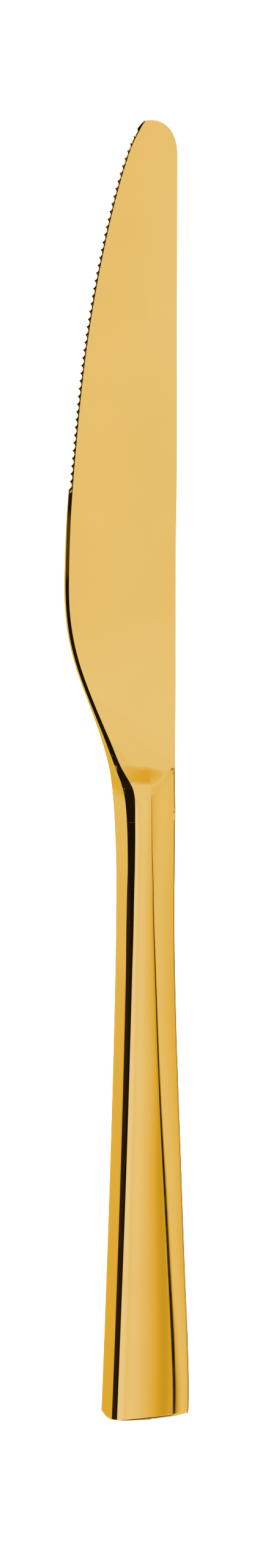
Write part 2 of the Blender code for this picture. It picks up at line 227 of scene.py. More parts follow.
def buttLimit(z, h):
    # half thickness left of h near the butt: circular dome, then a fillet circle that meets the section
    r = handleSection["domeRadius"]
    f = np.minimum(handleSection["domeFillet"], handleSection["filletShare"] * h)
    filletZ = r - np.sqrt((r - f) ** 2 - (h - f) ** 2)
    touchZ = r - (r - filletZ) * r / (r - f)
    dome = np.sqrt(np.maximum(r**2 - (r - np.minimum(z, touchZ)) ** 2, 0.0))
    fillet = h - f + np.sqrt(np.maximum(f**2 - np.clip(filletZ - z, 0.0, f) ** 2, 0.0))
    return np.where(z < touchZ, np.minimum(dome, h), fillet)


def roundingShape(z, t):
    # how far across and up the rounding has come at t: quarter ellipse, or two flats meeting at a knee
    b = bladeSection
    knee, bow, kneeRise = (flow(z, b[k]) for k in ("knee", "curved", "kneeRise"))
    share = b["kneeShare"]
    first = np.minimum(t / share, 1.0)
    rest = np.clip((t - share) / (1 - share), 0.0, 1.0)
    kneeX, kneeH = mix(share, b["kneeAcross"], knee), mix(share, kneeRise, knee)
    across = mix(first * kneeX + rest * (1 - kneeX), 1 - np.cos(t * np.pi / 2), bow)
    return across, mix(first * kneeH + rest * (1 - kneeH), np.sin(t * np.pi / 2), bow)


def faceCurve(z):
    # the face's slope grows evenly from its outward lean to its steepest at the ridge, so it is a parabola
    s = handleSection
    start = edgeX(z) + flow(z, s["roundFace"])
    ridgeX = thinX(z) - flow(z, s["ridgeInset"])
    slope0 = -np.tan(np.radians(flow(z, s["outwardLean"])))
    slope1 = np.tan(np.radians(flow(z, s["ridgeLean"])))
    bend = (slope1 - slope0) / (ridgeX - start)
    startH = flow(z, s["faceHalf"]) - slope0**2 / (2 * bend)
    return start, ridgeX, startH, slope0, bend


def handleProfile(z):
    # half section per height, as columns of x and half thickness: flat wall, rounding, parabola of the
    # face, tangent curve over the ridge, bulged facet, quarter ellipse
    s = handleSection
    z = np.asarray(z, float)[:, None]
    left, right = edgeX(z), thinX(z)
    faceX, ridgeX, faceH, slope0, bend = faceCurve(z)
    wallH = flow(z, s["wallHalf"])
    soft = flow(z, s["ridgeRound"])
    endX = right - s["thinRound"]
    facetW = endX - ridgeX

    def faceAt(x):
        return faceH - slope0 * (x - faceX) - bend * (x - faceX) ** 2 / 2

    def facetAt(t):
        bulge = 4 * s["facetBulge"] * t * (1 - t)
        return mix(ridgeX, endX, t), mix(faceAt(ridgeX), s["thinHalf"], t) + bulge

    t = np.linspace(0.0, 1.0, columns["wall"], endpoint=False)
    wall = (left + 0 * t, wallH * t + 0 * left)
    across, rise = roundingShape(z, np.linspace(0.0, 1.0, columns["round"]))
    rounding = (mix(left, faceX, across), mix(wallH, faceH, rise))
    x = mix(faceX, ridgeX - soft, np.linspace(0.0, 1.0, columns["face"] + 1)[1:])
    face = (x, faceAt(x))
    x0, h0 = x[:, -1:], face[1][:, -1:]
    down0 = -slope0 - bend * (x0 - faceX)
    t2 = soft / facetW
    x2, h2 = facetAt(t2)
    down2 = (s["thinHalf"] - faceAt(ridgeX) + 4 * s["facetBulge"] * (1 - 2 * t2)) / facetW
    xc = (h2 - down2 * x2 - h0 + down0 * x0) / (down0 - down2)  # where the two tangents cross
    hc = h0 + down0 * (xc - x0)
    t = np.linspace(0.0, 1.0, columns["ridge"] + 1)[1:]
    ridge = tuple(
        (1 - t) ** 2 * p + 2 * t * (1 - t) * c + t**2 * q for p, c, q in ((x0, xc, x2), (h0, hc, h2))
    )
    facet = facetAt(mix(t2, 1.0, np.linspace(0.0, 1.0, columns["facet"] + 1)[1:]))
    a = np.linspace(0.0, np.pi / 2, columns["thin"] + 1)[1:]
    thin = (endX + s["thinRound"] * np.sin(a), s["thinHalf"] * np.cos(a) + 0 * left)
    xs, hs = (np.hstack(p) for p in zip(wall, rounding, face, ridge, facet, thin))
    hs[:, -1] = 0.0
    hs = buttLimit(z, hs)
    gap = z - s["domeRadius"] + np.sqrt(s["domeRadius"] ** 2 - hs**2)
    low = left + cornerRound(gap, *s["cornerEdge"])
    high = right - cornerRound(gap, *s["cornerThin"])
    return np.clip(xs, low, high), hs


bolster = {"rampBase": 83.15, "rampTop": 86.5, "chamfer": 0.003}
bladeSection = {
    # half thickness of the flat plate beside the bevel; near the bolster the face swells over it to faceHalf
    "plateHalf": (
        (82, 0.5), (94, 0.5), (101, 0.47), (106, 0.45), (110, 0.44), (116, 0.38), (122, 0.33), (130, 0.27),
        (170, 0.25),
    ),
    "swellReach": 2.3,
    "faceRise": ((86, 0.005), (94, 0.01), (101, 0.02), (106, 0.03), (170, 0.03)),  # grows towards the spine
    "faceBulge": 0.022,
    "bulgeFade": 12.0,  # the bulge dies out over this length below the tip
    # bevel's section: 1 a quarter ellipse, 0 flats
    "curved": ((0, 1.0), (58, 1.0), (68, 0.8), (75, 0.4), (81, 0.0), (170, 0.0)),
    # 1 two flats that meet at a crease, 0 one flat
    "knee": ((0, 1.0), (84, 1.0), (86, 0.6), (88, 0.1), (90, 0.0), (170, 0.0)),
    "kneeShare": 0.4,  # share of the rounding's columns below the crease
    "kneeAcross": 0.24,  # how far across the rounding the crease lies
    "kneeRise": ((82.4, 0.35), (84.3, 0.52)),  # and how far up
    "creaseFrom": 56.0,
    "kneeTo": 92.0,
    "leastWidth": 0.02,
    "squareOver": 10.0,  # length above the belly over which the bevel turns square to the edge
    "spineRound": 0.07,
    "bevelEnd": (168.9, 169.95),  # bevel runs out round the tip
    # the ramp's spine side changes over in a shorter step: where across the face that starts, over what
    # width, and how much shorter the step is
    "stepFrom": 0.72,
    "stepOver": 0.25,
    "stepShorter": 0.88,
    "rubOver": 12.0,  # edge wear sets in over this length above the ramp
}
serration = {
    "startZ": 122.7,
    "endZ": 169.0,
    "pitch": 1.01,
    "depth": 0.4,
    "deepest": 0.96,  # share of the bevel's width that a scallop may take
    "power": 1.6,
    "samples": 12,  # rings to a scallop
    "margin": 1e-6,  # both ends of the row are left whole
}
bladeRings = {
    "collar": 8,
    "ramp": 40,
    "heel": 60,
    "tip": 44,
    "tipFrom": 0.3,  # radians round the tip's corner; the rings crowd towards its top
    "digits": 6,  # heights that agree to this many decimals are one ring
}
faceShare = handleProfile(np.array((bolster["rampBase"],)))[0]
faceFirst = columns["wall"] + columns["round"] - 1
faceLast = faceFirst + columns["face"] + columns["ridge"] + columns["facet"]
faceShare = faceShare[:, faceFirst + 1 : faceLast + 1] - faceShare[:, faceFirst : faceFirst + 1]
faceShare = faceShare / faceShare[:, -1:]  # where the face's columns lie across the blade

edgeSteps = np.diff(edgePoints, axis=0)
edgeRun = np.concatenate(((0.0,), np.cumsum(np.hypot(*edgeSteps.T))))  # length along the edge
edgeWay = np.gradient(edgePoints, edgeRun, axis=0)


def notchDepth(z):
    # scallops: depth falls from the middle of each pitch to its points as 1 - |2p - 1|^power
    s = serration
    run, start, end = (np.interp(v, edgePoints[:, 1], edgeRun) for v in (z, s["startZ"], s["endZ"]))
    count = np.round((end - start) / s["pitch"])
    p = np.mod((run - start) / (end - start) * count, 1.0)
    inside = (z > s["startZ"] + s["margin"]) & (z < s["endZ"] - s["margin"])
    return np.where(inside, s["depth"] * (1.0 - np.abs(2 * p - 1) ** s["power"]), 0.0)


def bladeHeights():
    o, s, r = outline, serration, bladeRings
    collar = np.linspace(o["jointZ"] + bolster["chamfer"], bolster["rampBase"], r["collar"])
    ramp = np.linspace(bolster["rampBase"], bolster["rampTop"], r["ramp"])
    heel = np.linspace(bolster["rampTop"], s["startZ"], r["heel"])
    start, end = (np.interp(v, edgePoints[:, 1], edgeRun) for v in (s["startZ"], s["endZ"]))
    count = int(np.round((end - start) / s["pitch"]))
    runs = np.linspace(start, end, count * s["samples"] + 1)
    teeth = np.interp(runs, edgeRun, edgePoints[:, 1])
    cornerZ = o["tipZ"] - o["cornerDrop"]
    tip = cornerZ + (o["topZ"] - cornerZ) * np.sin(np.linspace(r["tipFrom"], np.pi / 2, r["tip"]))
    z = np.concatenate(((o["jointZ"],), collar, ramp, heel, teeth, tip[tip > s["endZ"]]))
    return np.unique(np.round(z, r["digits"]))


def bladeGrid(z):
    # half section per height: blunt edge with scallops, bevel set in square to the edge, plate with a swell
    # that falls off as exp(-distance / reach), quarter ellipse; below the ramp's top it eases into the
    # handle's section
    b = bladeSection
    zc = z[:, None]
    left, right = edgeX(zc), spineX(zc)
    width = np.maximum(right - left, b["leastWidth"])
    runOut = np.sqrt(np.clip((b["bevelEnd"][1] - zc) / (b["bevelEnd"][1] - b["bevelEnd"][0]), 0.0, 1.0))
    bevel = flow(zc, handleSection["roundFace"]) * runOut
    landH = flow(zc, handleSection["wallHalf"])
    spineR = np.minimum(b["spineRound"], width / 4)
    faceH = flow(zc, handleSection["faceHalf"])
    plateH = np.minimum(faceH, flow(zc, b["plateHalf"]))
    spineH = plateH + flow(zc, b["faceRise"]) * width
    wayX, wayZ = (np.interp(zc, edgePoints[:, 1], edgeWay[:, i]) for i in (0, 1))
    tilt = ease((zc - outline["bellyZ"]) / b["squareOver"])  # below the belly measured straight across
    inX, inZ = mix(1.0, wayZ, tilt), mix(0.0, -wayX, tilt)
    deep = np.minimum(notchDepth(zc), serration["deepest"] * bevel)
    cutX, cutH, cutZ = left + deep * inX, landH, zc + deep * inZ
    lineX, lineZ = left + bevel * inX, zc + bevel * inZ
    t = np.linspace(0.0, 1.0, columns["wall"], endpoint=False)
    wall = (cutX + 0 * t, cutH * t, cutZ + 0 * t)
    across, rise = roundingShape(zc, np.linspace(0.0, 1.0, columns["round"]))
    bevelled = (mix(cutX, lineX, across), mix(cutH, faceH, rise), mix(cutZ, lineZ, across))
    t = faceShare
    bulge = 4 * b["faceBulge"] * t * (1 - t) * ease((outline["tipZ"] - zc) / b["bulgeFade"])
    swell = (faceH - plateH) * np.exp(-t * width / b["swellReach"])
    face = (mix(lineX, right - spineR, t), mix(plateH, spineH, t) + bulge + swell, mix(lineZ, zc, t))
    a = np.linspace(0.0, np.pi / 2, columns["thin"] + 1)[1:]
    spine = (right - spineR * (1 - np.sin(a)), spineH * np.cos(a), zc + 0 * a)
    xs, hs, zs = (np.hstack(p) for p in zip(wall, bevelled, face, spine))
    low = z < bolster["rampTop"]
    handleX, handleH = handleProfile(z[low])
    up = (z[low, None] - bolster["rampBase"]) / (bolster["rampTop"] - bolster["rampBase"])
    step = ease((np.append(0.0, faceShare) - b["stepFrom"]) / b["stepOver"])
    abrupt = np.concatenate((np.zeros(faceFirst), step, np.ones(columns["thin"])))
    share = ease(0.5 + (up - 0.5) / (1.0 - b["stepShorter"] * abrupt))
    xs[low] = mix(handleX, xs[low], share)
    hs[low] = mix(handleH, hs[low], share)
    hs[:, -1] = 0.0
    return xs, hs, zs


def chamferEnd(xs, hs, row, amount):  # draws one ring in all round, so that the joint shows as a hairline
    middle = (xs[row].min() + xs[row].max()) / 2
    xs[row] = middle + (xs[row] - middle) * (1 - 2 * amount / np.ptp(xs[row]))
    hs[row] *= 1 - amount / hs[row].max()


def gridFaces(rings, count, offset=0):  # quads between neighbouring rings of a closed loft
    i, j = np.meshgrid(np.arange(rings - 1), np.arange(count), indexing="ij")
    k = (j + 1) % count
    quads = np.stack((i * count + j, i * count + k, (i + 1) * count + k, (i + 1) * count + j), -1)
    return (quads.reshape(-1, 4) + offset).tolist()


def creaseEdges(mesh, creased, count):  # marks edges that run up one column between creased points
    ends = np.empty(len(mesh.edges) * 2, np.int32)
    mesh.edges.foreach_get("vertices", ends)
    ends = ends.reshape(-1, 2)
    sharp = np.empty(len(mesh.edges), bool)
    data = mesh.attributes["sharp_edge"].data
    data.foreach_get("value", sharp)
    sharp |= creased[ends].all(1) & (np.ptp(ends % count, axis=1) == 0)
    data.foreach_set("value", sharp)


meshing = {"sharpAngle": 24.0, "weld": 1e-9}  # degrees, metres


def addPiece(name, points, faces, rub, creased, count, material, node):
    mesh = bpy.data.meshes.new(name)
    mesh.from_pydata(((points + (shiftX, 0, 0)) * mm).tolist(), [], faces)
    mesh.validate()
    mesh.attributes.new("edgeRub", "FLOAT", "POINT").data.foreach_set("value", rub.astype(np.float32))
    mesh.materials.append(material)
    mesh.shade_smooth()
    mesh.set_sharp_from_angle(angle=radians(meshing["sharpAngle"]))
    creaseEdges(mesh, creased, count)
    weld = bmesh.new()
    weld.from_mesh(mesh)
    # columns run together round the butt
    bmesh.ops.remove_doubles(weld, verts=weld.verts, dist=meshing["weld"])
    weld.to_mesh(mesh)
    weld.free()
    piece = bpy.data.objects.new(name, mesh)
    bpy.context.scene.collection.objects.link(piece)
    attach(piece, "root")
    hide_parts(node)
    print(name, len(mesh.vertices), "points", len(mesh.polygons), "faces")


tang = {
    "inset": 3.77,  # from the thin edge
    "length": 38.0,
    "drop": 0.3,
    "taper": 0.3,
    "root": 1.0,  # how far it is rooted in the bolster
    "bed": 1.15,  # cement between tang and shell
    "wall": 0.5,
    "square": 5.0,  # power of the superellipse
    "points": 32,
    "rings": 12,
}


def tangRings():
    # superellipse section between the wall's bed of cement and the ridge line, tapering to its end
    ridgeX = thinX(outline["jointZ"]) - tang["inset"]
    half = handleSection["faceHalf"][0][1] - tang["drop"] - tang["wall"] - tang["bed"]
    left = edgeX(outline["jointZ"]) + tang["wall"] + tang["bed"]
    low, high = outline["jointZ"] - tang["length"], outline["jointZ"] + tang["root"]
    z = np.linspace(low, high, tang["rings"])[:, None]
    narrow = tang["taper"] / 2 * (1 - (z - z[0]) / (z[-1] - z[0]))
    a = np.linspace(0.0, 2 * np.pi, tang["points"], endpoint=False)
    p = 2 / tang["square"]
    cx, cy = (np.sign(f) * np.abs(f) ** p for f in (np.cos(a), np.sin(a)))
    x = (left + ridgeX) / 2 + ((ridgeX - left) / 2 - narrow) * cx
    return np.stack((x, half * cy + 0 * z, z + 0 * cx), -1)


def bevelCreases(z, count):  # where the rounding's two flats meet, and where they meet wall and face
    b, first, last = bladeSection, columns["wall"], columns["wall"] + columns["round"] - 1
    knee = first + round((columns["round"] - 1) * b["kneeShare"])
    creased = np.zeros((len(z), count), bool)
    for column, top in ((first, outline["tipZ"]), (knee, b["kneeTo"]), (last, outline["tipZ"])):
        rows = (z > b["creaseFrom"]) & (z < top)
        creased[rows, column] = True
        creased[rows, count - column] = True
    return creased


def makeBlade(material):
    z = bladeHeights()
    xs, hs, zs = bladeGrid(z)
    chamferEnd(xs, hs, 0, bolster["chamfer"])
    front = np.stack((xs, -hs, zs), -1)
    back = np.stack((xs, hs, zs), -1)[:, -2:0:-1]
    rings = np.concatenate((front, back), 1)
    count = rings.shape[1]
    faces = gridFaces(len(z), count)
    faces.append(list(range(count))[::-1])
    faces.append(list(range((len(z) - 1) * count, len(z) * count)))
    rub = np.zeros(rings.shape[:2])
    first = columns["wall"] + columns["round"]
    onEdge = np.concatenate((np.arange(first), np.arange(count - first + 1, count)))
    rub[:, onEdge] = ease((z - bolster["rampTop"]) / bladeSection["rubOver"])[:, None]
    stem = tangRings()
    base = rings.shape[0] * count
    faces += gridFaces(len(stem), tang["points"], base)
    faces.append(list(range(base, base + tang["points"]))[::-1])
    top = base + (len(stem) - 1) * tang["points"]
    faces.append(list(range(top, top + tang["points"])))
    points = np.concatenate((rings.reshape(-1, 3), stem.reshape(-1, 3)))
    rub = np.concatenate((rub.ravel(), np.zeros(stem.shape[0] * tang["points"])))
    creased = np.zeros(len(points), bool)
    creased[:base] = bevelCreases(z, count).ravel()
    addPiece("knifeBlade", points, faces, rub, creased, count, material, "blade")


shell = {
    "wall": 0.5,
    "floorZ": 0.95,  # the butt is solid below this
    "footZ": 0.002,
    "cavityEdge": 0.25,
    "seam": 0.02,
    "rubZ": 1.2,  # wear round the butt fades out over this height
    "rings": 72,
    "buttRings": 40,
}


def cavityProfile(z, count):
    # hollow inside the shell: a line round four corners set in by the wall's thickness
    s, w = handleSection, shell["wall"]
    z = np.asarray(z, float)
    faceX, ridgeX, faceH, slope0, bend = faceCurve(z)
    ridgeH = faceH - slope0 * (ridgeX - faceX) - bend * (ridgeX - faceX) ** 2 / 2
    slope = (ridgeH - s["thinHalf"]) / (thinX(z) - s["thinRound"] - ridgeX)
    endH = shell["cavityEdge"]
    endX = ridgeX + (ridgeH - w * np.sqrt(1 + slope**2) - endH) / slope
    left = edgeX(z) + w
    nil = 0 * z
    cx = np.stack((left, left, ridgeX - w * slope / 2, endX, endX), 1)
    ch = np.stack((nil, s["faceHalf"][0][1] - w + nil, ridgeH - w, nil + endH, nil), 1)
    u = np.linspace(0.0, 4.0, count)
    k = np.minimum(u.astype(int), 3)
    return tuple(mix(c[:, k], c[:, k + 1], u - k) for c in (cx, ch))


def makeShell(name, side, material, node):
    # outer half section and hollow joined into one closed loop per height; below the floor the
    # hollow closes on the middle plane, so the butt is solid
    o = outline
    crowd = np.linspace(0.0, 1.0, shell["buttRings"]) ** 2  # rings crowd towards the foot
    butt = shell["footZ"] + (shell["floorZ"] - shell["footZ"]) * crowd
    upper = np.linspace(shell["floorZ"], o["jointZ"] - bolster["chamfer"], shell["rings"])
    z = np.concatenate((butt, upper, (o["jointZ"],)))
    xs, hs = handleProfile(z)
    chamferEnd(xs, hs, -1, bolster["chamfer"])
    count = xs.shape[1]
    solid = len(butt)
    inX, inH = cavityProfile(z, count)
    seam = shell["seam"]
    inX[:solid] = mix(xs[:solid, :1] + seam, xs[:solid, -1:] - seam, np.linspace(0.0, 1.0, count))
    inH[:solid] = 0.0
    ring = np.concatenate((np.stack((xs, hs), -1), np.stack((inX, inH), -1)[:, ::-1]), 1)
    points = np.concatenate((ring[..., :1], -ring[..., 1:], z[:, None, None] + 0 * ring[..., :1]), -1)
    loop = 2 * count
    faces = np.array(gridFaces(len(z), loop))
    j = np.arange(count - 1)
    foot = np.stack((j, loop - 1 - j, loop - 2 - j, j + 1), -1)
    mouth = (foot + (len(z) - 1) * loop)[:, ::-1]
    faces = np.concatenate((faces, foot, mouth))
    if side > 0:
        points = points * (1, -1, 1)
        faces = faces[:, ::-1]
    crest = columns["wall"] + columns["round"] + columns["face"]
    rub = np.zeros((len(z), loop))
    rub[:, crest : crest + columns["ridge"]] = 1.0
    rub[:, :count] = np.maximum(rub[:, :count], 1.0 - ease(z / shell["rubZ"])[:, None])
    creased = bevelCreases(z, loop)
    creased[:, count:] = False
    points, faces = points.reshape(-1, 3), faces.tolist()
    addPiece(name, points, faces, rub.ravel(), creased.ravel(), loop, material, node)


# Materials: two shared groups, then one finish for each piece


def newGroup(name, inputs, outputs):
    group = bpy.data.node_groups.new(name, "ShaderNodeTree")
    for way, sockets in (("INPUT", inputs), ("OUTPUT", outputs)):
        for label, kind in sockets:
            group.interface.new_socket(label, in_out=way, socket_type=kind)
    nodes, links = group.nodes, group.links
    return group, nodes, links, nodes.new("NodeGroupInput"), nodes.new("NodeGroupOutput")


def mathNode(nodes, links, operation, a, b=None, clamp=False):
    node = nodes.new("ShaderNodeMath")
    node.operation = operation
    node.use_clamp = clamp
    for socket, value in zip(node.inputs, (a, b)):
        if isinstance(value, bpy.types.NodeSocket):
            links.new(value, socket)
        elif value is not None:
            socket.default_value = value
    return node.outputs[0]


polish = {
    "stretch": (1.0, 1.0, 0.03),  # the lines run along the knife
    "lineDetail": 3.0,
    "driftDetail": 2.0,
    "hazeFiner": 7.0,  # than the drift
    "hazeDetail": 5.0,
    "hazeRoughness": 0.65,
}
wear = {"patchScale": 700.0, "patchDetail": 4.0}
noiseSpan = (0.3, 0.7)  # nearly all of a noise lies between these


def polishGroup():
    # fine lines left by the polishing wheel, along the knife, over a slow drift of the coating
    group, nodes, links, given, out = newGroup(
        "polishedCoating",
        (
            ("Vector", "NodeSocketVector"),
            ("Line Scale", "NodeSocketFloat"),
            ("Drift Scale", "NodeSocketFloat"),
        ),
        (("Lines", "NodeSocketFloat"), ("Drift", "NodeSocketFloat"), ("Haze", "NodeSocketFloat")),
    )
    stretch = nodes.new("ShaderNodeMapping")
    stretch.inputs["Scale"].default_value = polish["stretch"]
    links.new(given.outputs["Vector"], stretch.inputs["Vector"])
    lines = nodes.new("ShaderNodeTexNoise")
    lines.inputs["Detail"].default_value = polish["lineDetail"]
    links.new(stretch.outputs["Vector"], lines.inputs["Vector"])
    links.new(given.outputs["Line Scale"], lines.inputs["Scale"])
    drift = nodes.new("ShaderNodeTexNoise")
    drift.inputs["Detail"].default_value = polish["driftDetail"]
    links.new(given.outputs["Vector"], drift.inputs["Vector"])
    links.new(given.outputs["Drift Scale"], drift.inputs["Scale"])
    haze = nodes.new("ShaderNodeTexNoise")
    haze.inputs["Detail"].default_value = polish["hazeDetail"]
    haze.inputs["Roughness"].default_value = polish["hazeRoughness"]
    links.new(given.outputs["Vector"], haze.inputs["Vector"])
    hazeScale = mathNode(nodes, links, "MULTIPLY", given.outputs["Drift Scale"], polish["hazeFiner"])
    links.new(hazeScale, haze.inputs["Scale"])
    links.new(lines.outputs["Fac"], out.inputs["Lines"])
    links.new(drift.outputs["Fac"], out.inputs["Drift"])
    links.new(haze.outputs["Fac"], out.inputs["Haze"])
    return group


def rubGroup():
    # how far the coating is rubbed thin along crests and edges, broken up by noise
    group, nodes, links, given, out = newGroup(
        "rubbedEdges",
        (
            ("Vector", "NodeSocketVector"),
            ("Rub", "NodeSocketFloat"),
            ("Amount", "NodeSocketFloat"),
        ),
        (("Mask", "NodeSocketFloat"),),
    )
    patches = nodes.new("ShaderNodeTexNoise")
    patches.inputs["Scale"].default_value = wear["patchScale"]
    patches.inputs["Detail"].default_value = wear["patchDetail"]
    links.new(given.outputs["Vector"], patches.inputs["Vector"])
    broken = mathNode(nodes, links, "MULTIPLY", given.outputs["Rub"], patches.outputs["Fac"])
    mask = mathNode(nodes, links, "MULTIPLY", broken, given.outputs["Amount"], clamp=True)
    links.new(mask, out.inputs["Mask"])
    return group


coatingGroup = polishGroup()
edgeGroup = rubGroup()


def mapValue(nodes, links, source, low, high):
    node = nodes.new("ShaderNodeMapRange")
    for label, value in zip(("From Min", "From Max", "To Min", "To Max"), (*noiseSpan, low, high)):
        node.inputs[label].default_value = value
    links.new(source, node.inputs["Value"])
    return node.outputs["Result"]


def goldFinish(name, look):
    material = bpy.data.materials.new(name)
    material.use_nodes = True
    nodes, links = material.node_tree.nodes, material.node_tree.links
    shader = nodes["Principled BSDF"]
    shader.inputs["Metallic"].default_value = 1.0
    place = nodes.new("ShaderNodeTexCoord")
    coating = nodes.new("ShaderNodeGroup")
    coating.node_tree = coatingGroup
    coating.inputs["Line Scale"].default_value = look["lineScale"]
    coating.inputs["Drift Scale"].default_value = look["driftScale"]
    rubbed = nodes.new("ShaderNodeGroup")
    rubbed.node_tree = edgeGroup
    rubbed.inputs["Amount"].default_value = look["rub"]
    edge = nodes.new("ShaderNodeAttribute")
    edge.attribute_name = "edgeRub"
    links.new(place.outputs["Object"], coating.inputs["Vector"])
    links.new(place.outputs["Object"], rubbed.inputs["Vector"])
    links.new(edge.outputs["Fac"], rubbed.inputs["Rub"])
    tone = nodes.new("ShaderNodeMix")
    tone.data_type = "RGBA"
    tone.inputs["A"].default_value = (*look["deep"], 1.0)
    tone.inputs["B"].default_value = (*look["pale"], 1.0)
    links.new(mapValue(nodes, links, coating.outputs["Drift"], 0.0, 1.0), tone.inputs["Factor"])
    worn = nodes.new("ShaderNodeMix")
    worn.data_type = "RGBA"
    worn.inputs["B"].default_value = (*look["thin"], 1.0)
    links.new(rubbed.outputs["Mask"], worn.inputs["Factor"])
    links.new(tone.outputs["Result"], worn.inputs["A"])
    links.new(worn.outputs["Result"], shader.inputs["Base Color"])
    rough = mapValue(nodes, links, coating.outputs["Haze"], look["roughLow"], look["roughHigh"])
    lineRough = mapValue(nodes, links, coating.outputs["Lines"], 0.0, look["lineRough"])
    links.new(mathNode(nodes, links, "ADD", rough, lineRough), shader.inputs["Roughness"])
    bump = nodes.new("ShaderNodeBump")
    bump.inputs["Strength"].default_value = look["bump"]
    bump.inputs["Distance"].default_value = look["bumpDepth"]
    links.new(coating.outputs["Lines"], bump.inputs["Height"])
    links.new(bump.outputs["Normal"], shader.inputs["Normal"])
    return material


bladeLook = {
    "deep": (0.79, 0.52, 0.155),
    "pale": (0.81, 0.54, 0.17),
    "thin": (0.84, 0.6, 0.25),
    "roughLow": 0.035,
    "roughHigh": 0.06,
    "lineRough": 0.015,
    "lineScale": 9000.0,
    "driftScale": 60.0,
    "rub": 0.3,
    "bump": 0.01,
    "bumpDepth": 0.00002,
}
shellLook = {**bladeLook, "rub": 0.2, "driftScale": 75.0}
backLook = {**shellLook, "driftScale": 68.0}

bladeGold = goldFinish("goldBlade", bladeLook)
frontGold = goldFinish("goldFrontShell", shellLook)
backGold = goldFinish("goldBackShell", backLook)
makeBlade(bladeGold)
makeShell("handleFront", -1, frontGold, "handle_front_shell")
makeShell("handleBack", 1, backGold, "handle_back_shell")

cementLook = {
    "dark": (0.4, 0.37, 0.33),
    "light": (0.62, 0.59, 0.53),
    "grain": 1800.0,
    "lumps": 260.0,
    "lumpDetail": 6.0,
    "paste": (0.3, 1.2),  # how light the paste is in the hollows and on the lumps
    "grainLift": 0.5,
    "rough": (0.82, 0.95),
    "bump": 0.5,
    "bumpDepth": 0.0001,
}


def cementFinish():
    # cured cement: pale paste, darker sand grains and small pits
    look = cementLook
    material = bpy.data.materials.new("handleCement")
    material.use_nodes = True
    nodes, links = material.node_tree.nodes, material.node_tree.links
    shader = nodes["Principled BSDF"]
    place = nodes.new("ShaderNodeTexCoord")
    sand = nodes.new("ShaderNodeTexVoronoi")
    sand.inputs["Scale"].default_value = look["grain"]
    lumps = nodes.new("ShaderNodeTexNoise")
    lumps.inputs["Scale"].default_value = look["lumps"]
    lumps.inputs["Detail"].default_value = look["lumpDetail"]
    for node in (sand, lumps):
        links.new(place.outputs["Object"], node.inputs["Vector"])
    tone = nodes.new("ShaderNodeMix")
    tone.data_type = "RGBA"
    tone.inputs["A"].default_value = (*look["dark"], 1.0)
    tone.inputs["B"].default_value = (*look["light"], 1.0)
    paste = mapValue(nodes, links, lumps.outputs["Fac"], *look["paste"])
    grains = mathNode(nodes, links, "ADD", sand.outputs["Distance"], look["grainLift"])
    blend = mathNode(nodes, links, "MULTIPLY", paste, grains, clamp=True)
    links.new(blend, tone.inputs["Factor"])
    links.new(tone.outputs["Result"], shader.inputs["Base Color"])
    links.new(mapValue(nodes, links, lumps.outputs["Fac"], *look["rough"]), shader.inputs["Roughness"])
    bump = nodes.new("ShaderNodeBump")
    bump.inputs["Strength"].default_value = look["bump"]
    bump.inputs["Distance"].default_value = look["bumpDepth"]
    links.new(sand.outputs["Distance"], bump.inputs["Height"])
    links.new(bump.outputs["Normal"], shader.inputs["Normal"])
    return material


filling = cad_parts["handle_filling"]
filling.data.materials.clear()
filling.data.materials.append(cementFinish())
print("pieces finished")

# Camera, floor and studio

cameraSetup = {
    "azimuth": -20.0,
    "elevation": 17.0,
    "mmPerPixel": 0.07668,
    "frame": (443, 2564),
    "datum": (284.113, 2312.3),
    "distance": 600.0,
    "clip": (0.01, 60.0),  # metres
}


def makeCamera():
    # parallel view; the datum pixel is where the outline's origin lies in the picture
    c = cameraSetup
    az, el = radians(c["azimuth"]), radians(c["elevation"])
    right = Vector((cos(az), sin(az), 0.0))
    toward = Vector((sin(az) * cos(el), -cos(az) * cos(el), sin(el)))
    up = toward.cross(right)
    u = (c["frame"][0] / 2 - c["datum"][0]) * c["mmPerPixel"]
    v = (c["datum"][1] - c["frame"][1] / 2) * c["mmPerPixel"]
    place = Vector((shiftX, 0.0, 0.0)) + right * u + up * v + toward * c["distance"]
    data = bpy.data.cameras.new("productCamera")
    data.type = "ORTHO"
    data.ortho_scale = max(c["frame"]) * c["mmPerPixel"] * mm
    data.clip_start, data.clip_end = c["clip"]
    camera = bpy.data.objects.new("productCamera", data)
    turned = Matrix((right, up, toward)).transposed().to_4x4()
    camera.matrix_world = Matrix.Translation(place * mm) @ turned
    bpy.context.scene.collection.objects.link(camera)
    bpy.context.scene.camera = camera


makeCamera()

floorLook = {"size": 12.0, "colour": (1.0, 1.0, 1.0), "glow": 1.0}


def makeFloor():
    look = floorLook
    half = look["size"] / 2
    mesh = bpy.data.meshes.new("studioFloor")
    corners = [(-half, -half, 0.0), (half, -half, 0.0), (half, half, 0.0), (-half, half, 0.0)]
    mesh.from_pydata(corners, [], [(0, 1, 2, 3)])
    material = bpy.data.materials.new("paleFloor")
    material.use_nodes = True
    shader = material.node_tree.nodes["Principled BSDF"]
    shader.inputs["Base Color"].default_value = (*look["colour"], 1.0)
    shader.inputs["Roughness"].default_value = 1.0
    shader.inputs["Specular IOR Level"].default_value = 0.0
    shader.inputs["Emission Color"].default_value = (*look["colour"], 1.0)
    shader.inputs["Emission Strength"].default_value = look["glow"]  # lit from below, so no shadow greys it
    mesh.materials.append(material)
    floor = bpy.data.objects.new("studioFloor", mesh)
    bpy.context.scene.collection.objects.link(floor)
    floor.visible_glossy = False  # polished metal mirrors the studio walls only


makeFloor()

